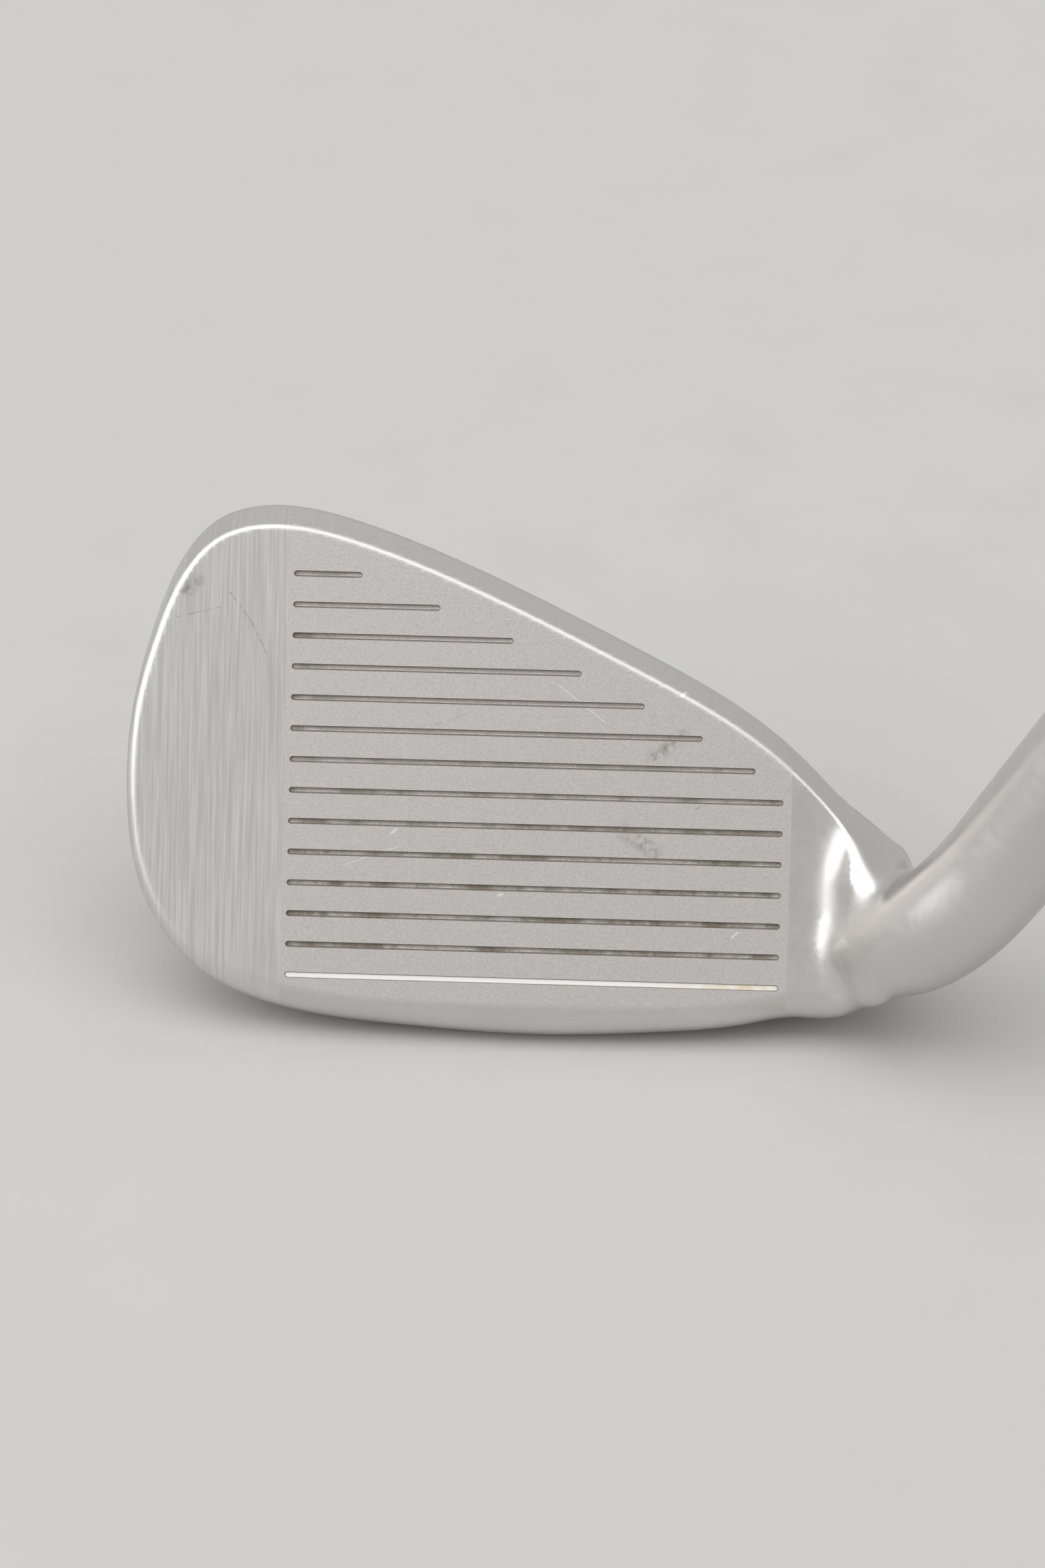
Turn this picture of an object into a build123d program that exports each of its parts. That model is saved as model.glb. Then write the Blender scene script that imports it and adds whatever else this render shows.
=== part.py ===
from build123d import *
import os
from math import atan, cos, pi, radians, sin, tan

# A right-handed cavity-back 7-iron, soled on the ground plane z = 0, in mm and degrees.
# +X runs from toe to heel, -Y is the way the face looks and +Z is up. The origin is where
# the sole touches the ground under the middle of the face.
# Face coordinates are u along the grooves, v up the face and w out of it, so a negative w
# is a depth behind the face. Distances s run up the shaft axis from the ground.

# Club
LOFT = 34.0
LIE = 62.0
CLUB_LENGTH = 939.8

# Blade and sole
GROOVE_CENTRE_HEIGHT = 28.53        # of the face frame's origin, above the ground
GROOVE_CENTRE_SETBACK = 4.19        # of the same point, behind the ground contact
SOLE_ROCKER_RADIUS = 195.0
LEAD_EDGE_RADIUS = 3.4
RIM_EDGE_RADIUS = 0.9
TOPLINE_THICKNESS = 5.4
MUSCLE_TOP_V = -3.0
MUSCLE_SHOULDER = (-9.5, -9.4)      # (v, w)
MUSCLE_LOWER = (-17.5, -16.6)
TRAILING_EDGE = (8.0, 1.4)          # (y, z)
TRAILING_EDGE_UNDERCUT = (6.0, -6.0)
REAR_CORNER_RADIUS = 2.6
EDGE_DEPTH = 5.4                    # the front edge's rounding ends before this depth
EDGE_RINGS = 15
BLADE_BLOCK_DEPTH = 24.0
RING_POINTS = 48
CUT_REACH = 90.0

# Grooves
GROOVE_PITCH = 3.56
GROOVES_ABOVE_CENTRE = 6
GROOVES_BELOW_CENTRE = 7
GROOVE_TOE_END = -28.7
GROOVE_HEEL_END = 28.3
GROOVE_WIDTH = 0.7
GROOVE_DEPTH = 0.4
PAINT_THICKNESS = 0.25

# Cavity, badge and damper
FACE_THICKNESS = 2.7
ADHESIVE_THICKNESS = 0.3
BADGE_THICKNESS = 1.2
BADGE_GAP = 0.8
CHANNEL_U = (-27.0, 19.0)
CHANNEL_V = (-18.0, -7.0)
CHANNEL_W = (-6.4, -3.2)
DAMPER_TOP_V = -9.5

# Hosel
AXIS_X = 38.2                       # where the shaft axis meets the ground
AXIS_Y = -9.45
HOSEL_RADIUS = 6.65
HEEL_TOP = 31.0                     # s where the curved heel becomes the straight hosel
HOSEL_TOP = 66.0
BORE_BOTTOM = 33.0
BORE_RADIUS = 4.82
BORE_CHAMFER = 0.6
EPOXY_GAP = 0.01

# Shaft
SHAFT_TIP_RADIUS = 4.70
SHAFT_BUTT_RADIUS = 7.62
SHAFT_WALL = 0.45
SHAFT_TIP = 34.9
SHAFT_FIRST_STEP = 236.0
SHAFT_STEPS = 14
SHAFT_STEP_PITCH = 30.5
SHAFT_STEP_RAMP = 0.8
TIP_WEIGHT_BOTTOM = 33.3
TIP_WEIGHT_TOP = 49.0
FIT_GAP = 0.02

# Ferrule
FERRULE_LENGTH = 25.0
FERRULE_SHOULDER = 3.0
FERRULE_TOP_RADIUS = 5.4

# Shaft band
BAND_BOTTOM = 640.0
BAND_HEIGHT = 24.0
BAND_THICKNESS = 0.1

# Grip
GRIP_LENGTH = 268.0
GRIP_MOUTH_RADIUS = 8.9
GRIP_LIP_RADIUS = 9.4
GRIP_LIP_LENGTH = 3.0
GRIP_UPPER_RADIUS = 12.1
GRIP_UPPER_FROM_END = 50.0
GRIP_END_RADIUS = 13.2
TAPE_THICKNESS = 0.15
TAPE_INSET = 2.5
CAP_THICKNESS = 4.5
CAP_RADIUS = 13.6
CAP_EDGE_RADIUS = 1.6
VENT_RADIUS = 1.6

LOFT_SIN = sin(radians(LOFT))
LOFT_COS = cos(radians(LOFT))
LOFT_TAN = tan(radians(LOFT))
ON_BASE = (Align.CENTER, Align.CENTER, Align.MIN)
FACE = Plane(
    origin=(0, GROOVE_CENTRE_SETBACK, GROOVE_CENTRE_HEIGHT),
    x_dir=(1, 0, 0),
    z_dir=(0, -LOFT_COS, LOFT_SIN),
)
AXIS_DIRECTION = Vector(cos(radians(LIE)), 0, sin(radians(LIE)))
SHAFT_AXIS = Plane(origin=(AXIS_X, AXIS_Y, 0), x_dir=(0, -1, 0), z_dir=AXIS_DIRECTION)
GRIP_START = CLUB_LENGTH - GRIP_LENGTH
CAP_BOTTOM = CLUB_LENGTH - CAP_THICKNESS
TAPE_RADIUS = SHAFT_BUTT_RADIUS + FIT_GAP + TAPE_THICKNESS


def side_point(v, w):
    """A point in face coordinates seen along X, as (y, z)."""
    y = GROOVE_CENTRE_SETBACK + v * LOFT_SIN - w * LOFT_COS
    z = GROOVE_CENTRE_HEIGHT + v * LOFT_COS + w * LOFT_SIN
    return (y, z)


def axis_point(s):
    """The point on the shaft axis that is s from the ground."""
    point = Vector(AXIS_X, AXIS_Y, 0) + AXIS_DIRECTION * s
    return (point.X, point.Y, point.Z)


def turned(profile):
    """A solid of revolution about the shaft axis, from (radius, s) corners."""
    section = Plane.XZ * make_face(Polyline(*profile, close=True))
    return SHAFT_AXIS * revolve(section, Axis.Z)


def rocker_v(x):
    """Where the rockered sole, carried forward, would meet the face plane."""
    rise = SOLE_ROCKER_RADIUS - (SOLE_ROCKER_RADIUS**2 - x**2) ** 0.5
    return (rise - GROOVE_CENTRE_HEIGHT) / LOFT_COS


def sharp_outline():
    """The line on which the head's side walls would meet the face plane, unrounded."""
    sole = [(x, rocker_v(x)) for x in (-30, -15, 0, 15, 30)]
    heel = [(38.5, -28.9), (44.5, -24.4), (47.3, -19.0), (45.5, -14.4)]
    topline = [(41.0, -11.0), (36.0, -6.4), (28.0, 1.3), (10.0, 11.8), (-10.0, 21.0), (-22.0, 25.3)]
    toe = [(-31.0, 26.8), (-37.5, 25.2), (-41.6, 20.9), (-44.9, 13.2), (-47.1, 4.5),
           (-47.6, -5.0), (-46.3, -15.0), (-42.4, -23.4), (-37.0, -28.6)]
    return Spline(*sole, *heel, *topline, *toe, periodic=True)


def edge_inset(depth, radius, slope):
    """How far a rounded edge lies inside the sharp one, at a depth behind the face."""
    if depth >= radius * (1 - sin(slope)):
        return 0.0
    centre = -radius * tan(pi / 4 - slope / 2)
    rounded = centre + (radius**2 - (radius - depth) ** 2) ** 0.5
    return rounded - tan(slope) * depth


def outline_ring(outline, depth):
    """The head's outline in a plane parallel to the face; its walls run back along Y."""
    points = []
    for i in range(RING_POINTS):
        along = outline % (i / RING_POINTS)
        outward = Vector(along.Y, -along.X)
        slope = atan(LOFT_TAN * outward.Y)
        underside = max(0.0, -outward.Y) ** 1.5
        radius = RIM_EDGE_RADIUS + (LEAD_EDGE_RADIUS - RIM_EDGE_RADIUS) * underside
        corner = outline @ (i / RING_POINTS) + Vector(0, LOFT_TAN * depth)
        points.append(corner + outward * edge_inset(depth, radius, slope))
    return FACE.offset(-depth) * make_face(Spline(*points, periodic=True))


def rear_cut():
    """Everything behind the back of the head, drawn from the side."""
    corners = [
        side_point(CUT_REACH, -TOPLINE_THICKNESS),
        side_point(MUSCLE_TOP_V, -TOPLINE_THICKNESS),
        side_point(*MUSCLE_SHOULDER),
        side_point(*MUSCLE_LOWER),
        TRAILING_EDGE,
        TRAILING_EDGE_UNDERCUT,
        (CUT_REACH, TRAILING_EDGE_UNDERCUT[1]),
    ]
    profile = FilletPolyline(*corners, radius=REAR_CORNER_RADIUS, close=True)
    return extrude(Plane.YZ * make_face(profile), amount=CUT_REACH, both=True)


def blade():
    """The blade and sole, with the flat face exactly on the face plane."""
    outline = sharp_outline()
    rings = [outline_ring(outline, EDGE_DEPTH * i / EDGE_RINGS) for i in range(EDGE_RINGS + 1)]
    front = loft(rings)
    rear = loft([rings[-1], outline_ring(outline, BLADE_BLOCK_DEPTH)], ruled=True)
    return front + rear - rear_cut()


def limb(stations):
    """A round limb lofted through (centre, radius) stations."""
    centres = [Vector(*centre) for centre, radius in stations]
    sections = []
    for i, (centre, radius) in enumerate(stations):
        direction = centres[min(i + 1, len(centres) - 1)] - centres[max(i - 1, 0)]
        plane = Plane(origin=centre, x_dir=(0, -1, 0), z_dir=direction.normalized())
        sections.append(plane * Circle(radius))
    return loft(sections)


def heel_and_hosel():
    """The curved heel, the web behind it and the straight hosel."""
    heel = limb([
        ((31.0, -3.6, 6.6), 3.6),
        ((35.2, -5.9, 9.1), 5.0),
        ((40.6, -8.5, 12.8), 6.1),
        ((45.9, -9.2, 17.6), 6.5),
        (axis_point(HEEL_TOP - 1.5), HOSEL_RADIUS),
        (axis_point(HEEL_TOP), HOSEL_RADIUS),
    ])
    web = limb([((35.0, 1.4, 18.0), 2.4), ((40.5, -2.2, 17.4), 3.4), ((46.0, -6.6, 20.0), 4.6)])
    hosel = SHAFT_AXIS.offset(HEEL_TOP) * Cylinder(HOSEL_RADIUS, HOSEL_TOP - HEEL_TOP, align=ON_BASE)
    return heel + web + hosel


def hosel_bore():
    mouth = BORE_RADIUS + BORE_CHAMFER
    return turned([
        (0, BORE_BOTTOM),
        (BORE_RADIUS, BORE_BOTTOM),
        (BORE_RADIUS, HOSEL_TOP - BORE_CHAMFER),
        (mouth, HOSEL_TOP),
        (mouth, HOSEL_TOP + 1),
        (0, HOSEL_TOP + 1),
    ])


def cavity_outline(inset=0.0):
    """The pocket in the back, which follows the topline and the toe."""
    top = [(26.0, -3.6), (10.0, 5.2), (-10.0, 14.6), (-25.0, 20.2)]
    toe = [(-32.5, 20.6), (-37.6, 15.4), (-40.6, 6.0), (-40.8, -3.0)]
    bottom = [(-37.0, -7.6), (-28.0, -8.4), (0.0, -8.6), (22.0, -8.6), (28.0, -7.6)]
    edge = Spline(*top, *toe, *bottom, periodic=True)
    stations = [i / RING_POINTS for i in range(RING_POINTS)]
    points = [edge @ t + Vector(-(edge % t).Y, (edge % t).X) * inset for t in stations]
    return make_face(Spline(*points, periodic=True))


def cavity():
    return FACE.offset(-CUT_REACH) * extrude(cavity_outline(), amount=CUT_REACH - FACE_THICKNESS)


def face_box(u, v, w):
    """A box between limits in face coordinates."""
    centre = ((u[0] + u[1]) / 2, (v[0] + v[1]) / 2, (w[0] + w[1]) / 2)
    return FACE * Pos(*centre) * Box(u[1] - u[0], v[1] - v[0], w[1] - w[0])


def groove_heel_end(v):
    """The grooves' heel ends keep an even distance from the topline, up to the last full line."""
    return min(GROOVE_HEEL_END, 25.0 - 1.657 * v - 0.0228 * v**2)


def groove_slot(line):
    """The outline of one round-ended groove; line counts upwards from the centre line."""
    v = line * GROOVE_PITCH
    heel_end = groove_heel_end(v)
    length = heel_end - GROOVE_TOE_END
    return Pos((heel_end + GROOVE_TOE_END) / 2, v) * SlotOverall(length, GROOVE_WIDTH)


def grooves():
    lines = range(-GROOVES_BELOW_CENTRE, GROOVES_ABOVE_CENTRE + 1)
    slots = [groove_slot(line) for line in lines]
    return FACE * extrude(Sketch() + slots, amount=GROOVE_DEPTH, both=True)


def head_body():
    solid = blade() + heel_and_hosel()
    solid -= cavity()
    solid -= face_box(CHANNEL_U, CHANNEL_V, CHANNEL_W)
    solid -= hosel_bore()
    return solid - grooves()


def groove_paint():
    """The fill in the lowest groove."""
    floor = FACE.offset(-GROOVE_DEPTH)
    return floor * extrude(groove_slot(-GROOVES_BELOW_CENTRE), amount=PAINT_THICKNESS)


def cavity_damper():
    return face_box(CHANNEL_U, (CHANNEL_V[0], DAMPER_TOP_V), CHANNEL_W)


def badge_outline():
    """The cavity's outline, drawn in by the gap, and ended above the damper channel."""
    below = Pos(0, CHANNEL_V[1] - CUT_REACH / 2) * Rectangle(2 * CUT_REACH, CUT_REACH)
    return cavity_outline(inset=BADGE_GAP) - below


def badge_adhesive():
    floor = FACE.offset(-FACE_THICKNESS - ADHESIVE_THICKNESS)
    return floor * extrude(badge_outline(), amount=ADHESIVE_THICKNESS)


def cavity_badge():
    floor = FACE.offset(-FACE_THICKNESS - ADHESIVE_THICKNESS - BADGE_THICKNESS)
    return floor * extrude(badge_outline(), amount=BADGE_THICKNESS)


def hosel_epoxy():
    """The glue, a thin cup between the bore and the shaft's tip."""
    outer = BORE_RADIUS - EPOXY_GAP
    inner = SHAFT_TIP_RADIUS + EPOXY_GAP
    top = HOSEL_TOP - BORE_CHAMFER
    floor = TIP_WEIGHT_BOTTOM - FIT_GAP
    return turned([
        (0, BORE_BOTTOM + EPOXY_GAP),
        (outer, BORE_BOTTOM + EPOXY_GAP),
        (outer, top),
        (inner, top),
        (inner, floor),
        (0, floor),
    ])


def tip_weight():
    """The swing-weight plug: a head under the shaft's end and a pin inside it."""
    head_radius = SHAFT_TIP_RADIUS - FIT_GAP
    pin_radius = SHAFT_TIP_RADIUS - SHAFT_WALL - FIT_GAP
    return turned([
        (0, TIP_WEIGHT_BOTTOM),
        (head_radius, TIP_WEIGHT_BOTTOM),
        (head_radius, SHAFT_TIP - FIT_GAP),
        (pin_radius, SHAFT_TIP - FIT_GAP),
        (pin_radius, TIP_WEIGHT_TOP),
        (0, TIP_WEIGHT_TOP),
    ])


def shaft():
    """A steel tube that steps up in diameter from tip to butt."""
    rise = (SHAFT_BUTT_RADIUS - SHAFT_TIP_RADIUS) / SHAFT_STEPS
    outer = [(SHAFT_TIP_RADIUS, SHAFT_TIP)]
    for step in range(SHAFT_STEPS):
        s = SHAFT_FIRST_STEP + step * SHAFT_STEP_PITCH
        outer.append((SHAFT_TIP_RADIUS + step * rise, s))
        outer.append((SHAFT_TIP_RADIUS + (step + 1) * rise, s + SHAFT_STEP_RAMP))
    outer.append((SHAFT_BUTT_RADIUS, CAP_BOTTOM - FIT_GAP))
    inner = [(radius - SHAFT_WALL, s) for radius, s in reversed(outer)]
    return turned(outer + inner)


def ferrule():
    """The collar that eases the hosel's diameter down to the shaft's."""
    bottom = HOSEL_TOP + FIT_GAP
    top = HOSEL_TOP + FERRULE_LENGTH
    bore = SHAFT_TIP_RADIUS + FIT_GAP
    shoulder = (HOSEL_RADIUS, bottom + FERRULE_SHOULDER)
    taper = Spline(shoulder, (6.2, bottom + 13.0), (FERRULE_TOP_RADIUS, top), tangents=[(0, 1), (-0.06, 1)])
    rest = Polyline((FERRULE_TOP_RADIUS, top), (bore, top), (bore, bottom), (HOSEL_RADIUS, bottom), shoulder)
    return SHAFT_AXIS * revolve(Plane.XZ * make_face(taper + rest), Axis.Z)


def shaft_band():
    inner = SHAFT_BUTT_RADIUS + FIT_GAP
    outer = inner + BAND_THICKNESS
    top = BAND_BOTTOM + BAND_HEIGHT
    return turned([(inner, BAND_BOTTOM), (outer, BAND_BOTTOM), (outer, top), (inner, top)])


def grip_tape():
    inner = SHAFT_BUTT_RADIUS + FIT_GAP
    bottom = GRIP_START + TAPE_INSET
    top = CAP_BOTTOM - TAPE_INSET
    return turned([(inner, bottom), (TAPE_RADIUS, bottom), (TAPE_RADIUS, top), (inner, top)])


def grip_sleeve():
    inner = TAPE_RADIUS + FIT_GAP
    lip_top = GRIP_START + GRIP_LIP_LENGTH
    upper = CLUB_LENGTH - GRIP_UPPER_FROM_END
    return turned([
        (inner, GRIP_START),
        (GRIP_MOUTH_RADIUS, GRIP_START),
        (GRIP_LIP_RADIUS, GRIP_START + 0.6),
        (GRIP_LIP_RADIUS, lip_top),
        (GRIP_MOUTH_RADIUS, lip_top + 1.2),
        (GRIP_UPPER_RADIUS, upper),
        (GRIP_END_RADIUS, CAP_BOTTOM - FIT_GAP),
        (inner, CAP_BOTTOM - FIT_GAP),
    ])


def grip_cap():
    """The moulded end cap, with the vent hole through its middle."""
    disc = Cylinder(CAP_RADIUS, CAP_THICKNESS, align=ON_BASE)
    disc = fillet(disc.edges().sort_by(Axis.Z)[-1], CAP_EDGE_RADIUS)
    vent = Cylinder(VENT_RADIUS, CAP_THICKNESS, align=ON_BASE)
    return SHAFT_AXIS.offset(CAP_BOTTOM) * (disc - vent)


PIECES = {
    "head_body": head_body,
    "groove_paint": groove_paint,
    "cavity_damper": cavity_damper,
    "badge_adhesive": badge_adhesive,
    "cavity_badge": cavity_badge,
    "hosel_epoxy": hosel_epoxy,
    "tip_weight": tip_weight,
    "shaft": shaft,
    "ferrule": ferrule,
    "shaft_band": shaft_band,
    "grip_tape": grip_tape,
    "grip_sleeve": grip_sleeve,
    "grip_cap": grip_cap,
}

if __name__ == "__main__":
    os.makedirs("parts", exist_ok=True)
    for node, build in PIECES.items():
        piece = build()
        export_step(piece, f"parts/{node}.step")
        print(node, round(piece.volume, 1))
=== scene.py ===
from math import cos, pi, radians, sin, tan

import bmesh
import bpy
import numpy as np
from mathutils import Matrix, Vector, geometry


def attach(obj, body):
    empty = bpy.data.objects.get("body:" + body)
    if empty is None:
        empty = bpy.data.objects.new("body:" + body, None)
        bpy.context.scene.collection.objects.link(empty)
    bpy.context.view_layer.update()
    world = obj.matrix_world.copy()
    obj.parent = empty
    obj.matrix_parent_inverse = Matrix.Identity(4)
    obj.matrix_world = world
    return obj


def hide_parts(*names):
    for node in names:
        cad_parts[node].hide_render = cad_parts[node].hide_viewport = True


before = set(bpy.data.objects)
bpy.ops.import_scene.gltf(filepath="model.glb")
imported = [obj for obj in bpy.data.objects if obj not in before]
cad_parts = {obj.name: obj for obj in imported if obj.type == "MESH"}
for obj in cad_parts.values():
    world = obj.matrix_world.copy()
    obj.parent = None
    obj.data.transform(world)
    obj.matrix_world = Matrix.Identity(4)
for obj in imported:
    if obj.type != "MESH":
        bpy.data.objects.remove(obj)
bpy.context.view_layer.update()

# A right-handed iron, soled on the floor. Sizes are in mm until a mesh is made, and the axes
# are the frame's: +X from toe to heel, -Y the way the face looks, +Z up. Face coordinates are
# u along the grooves, v up the face and w out of it. Distances s run up the shaft axis.
MM = 0.001
LOFT = radians(34.0)
LIE = radians(62.0)
U = np.array((1.0, 0.0, 0.0))
V = np.array((0.0, sin(LOFT), cos(LOFT)))
W = np.array((0.0, -cos(LOFT), sin(LOFT)))
FACE_ORIGIN = np.array((0.0, 4.19, 28.53))
AXIS_FOOT = np.array((38.2, -9.45, 0.0))
AXIS = np.array((cos(LIE), 0.0, sin(LIE)))
CLUB_LENGTH = 939.8

SOLE_ROCKER_RADIUS = 195.0
SOLE_CAMBER_REAR = 90.0
SOLE_CAMBER_FRONT = 260.0
CAMBER_TOP = 20.0                   # the camber fades out below this z
CAMBER_BLEND = 12.0
LEAD_EDGE_RADIUS = 3.3
HEEL_LEAD_RADIUS = 5.6
HEEL_LEAD_X = (34.0, 43.0)          # where the one becomes the other
TOE_EDGE_RADIUS = 1.4
RIM_EDGE_RADIUS = 0.9
BACK_EDGE_RADIUS = 1.3
HOSEL_RADIUS = 6.65
HOSEL_TOP = 66.0
BORE_RADIUS = 4.82
BORE_BOTTOM = 33.0
HEEL_EDGE_RADIUS = 4.0
HEEL_EDGE_X = (36.0, 42.0)
HEEL_FILLET = (1.8, 5.0, 8.0)       # against the topline's wall, at the limb's root, beside the hosel
HEEL_FILLET_X = (33.0, 41.0)
WALL_FACING = (0.62, 0.77)          # upward normals between these count more and more as topline
BLADE_END_X = 54.0
HOSEL_START_X = 22.0
STEP_BEND_START = -17.0             # below this v the step curves towards the heel
STEP_BEND = 0.02
STEP_FADE = (-4.5, -13.0)           # the step is lowest above the first v, full below the second
STEP_LEAST = 0.25
WEB_FILLET = 3.2
SOFT_PART = (36.0, 58.0)            # between these x the mesh is evened out over the heel's fillets
SOFT_ROUNDS = 12
HEAD_LOW = (-49.4, -17.6, -1.4)
HEAD_HIGH = (76.6, 27.0, 62.6)
HEAD_CELL = 0.5
FLAT_TOLERANCE = 0.004
PATCH_EDGE = 1.5                    # the part of the face with the grooves ends this far inside,
PATCH_HEEL_X = 29.6                 # at this x
PATCH_LOW_V = -26.3                 # and at this v

GROOVE_PITCH = 3.56
GROOVE_LINES = range(-7, 7)
GROOVE_TOE_END = -28.7
GROOVE_HEEL_END = 28.3
GROOVE_WIDTH = 0.72
GROOVE_SECTION = ((0.05, 0.04), (0.12, 0.28), (0.2, 0.37), (0.27, 0.4))  # (inset, depth)
BLAST_HALF_WIDTH = 29.2

LATHE_SIDES = 96
LATHE_SMOOTH_ANGLE = 35
FERRULE_TOP = 91.0
SHAFT_TIP = 35.0
SHAFT_WALL = 0.45
SHAFT_FIRST_STEP = 236.0
SHAFT_STEP_PITCH = 30.5
BAND_BOTTOM = 640.0
BAND_TOP = 664.0
GRIP_START = CLUB_LENGTH - 268.0
CAP_BOTTOM = CLUB_LENGTH - 4.5


# ---------------------------------------------------------------- curves and distances

def spline(points, step, closed):
    """Points about a step apart on the C2 curve through the given ones."""
    p = np.array(points, float)
    if closed:
        p = np.vstack([p, p[:1]])
    h = np.linalg.norm(np.diff(p, axis=0), axis=1)
    n = len(h)
    size = n if closed else n + 1
    a = np.zeros((size, size))
    rhs = np.zeros((size, p.shape[1]))
    slope = np.diff(p, axis=0) / h[:, None]
    for i in range(size):
        if not closed and i in (0, n):
            a[i, i] = 1.0
            continue
        a[i, i - 1] += h[i - 1]
        a[i, i] += 2 * (h[i - 1] + h[i])
        a[i, (i + 1) % size] += h[i]
        rhs[i] = 6 * (slope[i] - slope[i - 1])
    m = np.linalg.solve(a, rhs)
    out = []
    for i in range(n):
        m0, m1 = m[i], m[(i + 1) % size]
        for t in np.arange(0, h[i], h[i] / np.ceil(h[i] / step))[:, None]:
            r = h[i] - t
            bend = (m0 * r**3 + m1 * t**3) / (6 * h[i])
            out.append(bend + (p[i] / h[i] - m0 * h[i] / 6) * r + (p[i + 1] / h[i] - m1 * h[i] / 6) * t)
    return np.array(out if closed else out + [p[-1]])


def filleted(corners, radii, step):
    """An open 2-D line through the corners, each inner one rounded to its radius."""
    c = np.array(corners, float)
    out = [c[0]]
    for i in range(1, len(c) - 1):
        back = (c[i - 1] - c[i]) / np.linalg.norm(c[i - 1] - c[i])
        on = (c[i + 1] - c[i]) / np.linalg.norm(c[i + 1] - c[i])
        half = np.arccos(np.clip(back @ on, -1, 1)) / 2
        middle = (back + on) / np.linalg.norm(back + on)
        centre = c[i] + middle * radii[i - 1] / sin(half)
        start = c[i] + back * radii[i - 1] / tan(half) - centre
        end = c[i] + on * radii[i - 1] / tan(half) - centre
        turn = pi - 2 * half
        count = max(2, int(np.ceil(turn * radii[i - 1] / step)))
        for t in np.linspace(0, 1, count + 1):
            out.append(centre + (start * sin((1 - t) * turn) + end * sin(t * turn)) / sin(turn))
    return np.array(out + [c[-1]])


def divided(line, step):
    """The same open line with points about a step apart."""
    out = []
    for a, b in zip(line[:-1], line[1:]):
        count = max(1, int(np.ceil(np.linalg.norm(b - a) / step)))
        out += [a + (b - a) * t for t in np.arange(count) / count]
    return np.array(out + [line[-1]])


class Profile:
    """A 2-D line with signed distances, negative on the left of its direction of travel."""

    CELL = 0.5
    REACH = 5

    def __init__(self, points, closed, low, high):
        self.closed = closed
        self.p = points
        ahead = np.roll(points, -1, axis=0)
        behind = np.roll(points, 1, axis=0)
        if not closed:
            ahead[-1] = points[-1]
            behind[0] = points[0]
        along = ahead - behind
        along /= np.linalg.norm(along, axis=1)[:, None]
        self.n = np.stack([along[:, 1], -along[:, 0]], axis=1)
        self.low = np.array(low, float)
        self.shape = np.ceil((np.array(high) - self.low) / self.CELL).astype(int) + 1
        gx, gy = np.meshgrid(*[np.arange(k) for k in self.shape], indexing="ij")
        nodes = np.stack([gx.ravel(), gy.ravel()], axis=1) * self.CELL + self.low
        parts = np.array_split(nodes, 40)
        self.nearest = np.concatenate([((q[:, None] - points[None]) ** 2).sum(2).argmin(1) for q in parts])

    def __call__(self, q):
        """Signed distances of the points, and the line's normals nearest to them."""
        cell = np.clip(np.rint((q - self.low) / self.CELL).astype(int), 0, self.shape - 1)
        start = self.nearest[cell[:, 0] * self.shape[1] + cell[:, 1]]
        count = len(self.p)
        best = np.full(len(q), 1e18)
        spot = np.zeros_like(q)
        normal = np.zeros_like(q)
        for k in range(-self.REACH, self.REACH):
            i = start + k
            i = i % count if self.closed else np.clip(i, 0, count - 2)
            j = (i + 1) % count
            a = self.p[i]
            ab = self.p[j] - a
            t = np.clip(((q - a) * ab).sum(1) / (ab * ab).sum(1), 0, 1)[:, None]
            c = a + t * ab
            far = ((q - c) ** 2).sum(1)
            better = far < best
            best = np.where(better, far, best)
            spot = np.where(better[:, None], c, spot)
            normal = np.where(better[:, None], self.n[i] * (1 - t) + self.n[j] * t, normal)
        normal /= np.linalg.norm(normal, axis=1)[:, None]
        return ((q - spot) * normal).sum(1), normal


# A shape is (distance, outward normal) for an array of points.

def meet(a, b, radius):
    """What is inside both shapes, with the edge between them rounded."""
    (da, na), (db, nb) = a, b
    g = np.clip((na * nb).sum(1), -0.97, 0.97)
    ea = da + radius
    eb = db + radius
    s = (ea - g * eb) / (1 - g * g)
    t = (eb - g * ea) / (1 - g * g)
    mix = s[:, None] * na + t[:, None] * nb
    size = np.maximum(np.linalg.norm(mix, axis=1), 1e-9)
    edge = (s > 0) & (t > 0) & (g > -0.9)
    d = np.where(edge, size - radius, np.maximum(da, db))
    flat = np.where((da > db)[:, None], na, nb)
    return d, np.where(edge[:, None], mix / size[:, None], flat)


def outside(a):
    return -a[0], -a[1]


def join(a, b, radius):
    """What is inside either shape, with a fillet between them."""
    return outside(meet(outside(a), outside(b), radius))


def carve(a, b, radius):
    return meet(a, outside(b), radius)


def half_space(p, origin, normal):
    return (p - origin) @ normal, np.broadcast_to(normal, p.shape)


def chain(p, stations):
    """A round limb through (x, y, z, radius) stations."""
    best = np.full(len(p), 1e9)
    normal = np.zeros_like(p)
    for a, b in zip(stations[:-1], stations[1:]):
        ab = b[:3] - a[:3]
        t = np.clip((p - a[:3]) @ ab / (ab @ ab), 0, 1)[:, None]
        off = p - a[:3] - t * ab
        size = np.linalg.norm(off, axis=1)
        d = size - (a[3] + (b[3] - a[3]) * t[:, 0])
        closer = d < best
        best = np.where(closer, d, best)
        normal = np.where(closer[:, None], off / np.maximum(size, 1e-9)[:, None], normal)
    return best, normal


def on_face(u, v, w=0.0):
    return FACE_ORIGIN + U * u + V * v + W * w


def on_axis(s):
    return AXIS_FOOT + AXIS * s


# ---------------------------------------------------------------- the head's shape

def rocker_v(x):
    rise = SOLE_ROCKER_RADIUS - (SOLE_ROCKER_RADIUS**2 - x**2) ** 0.5
    return (rise - FACE_ORIGIN[2]) / cos(LOFT)


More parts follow.
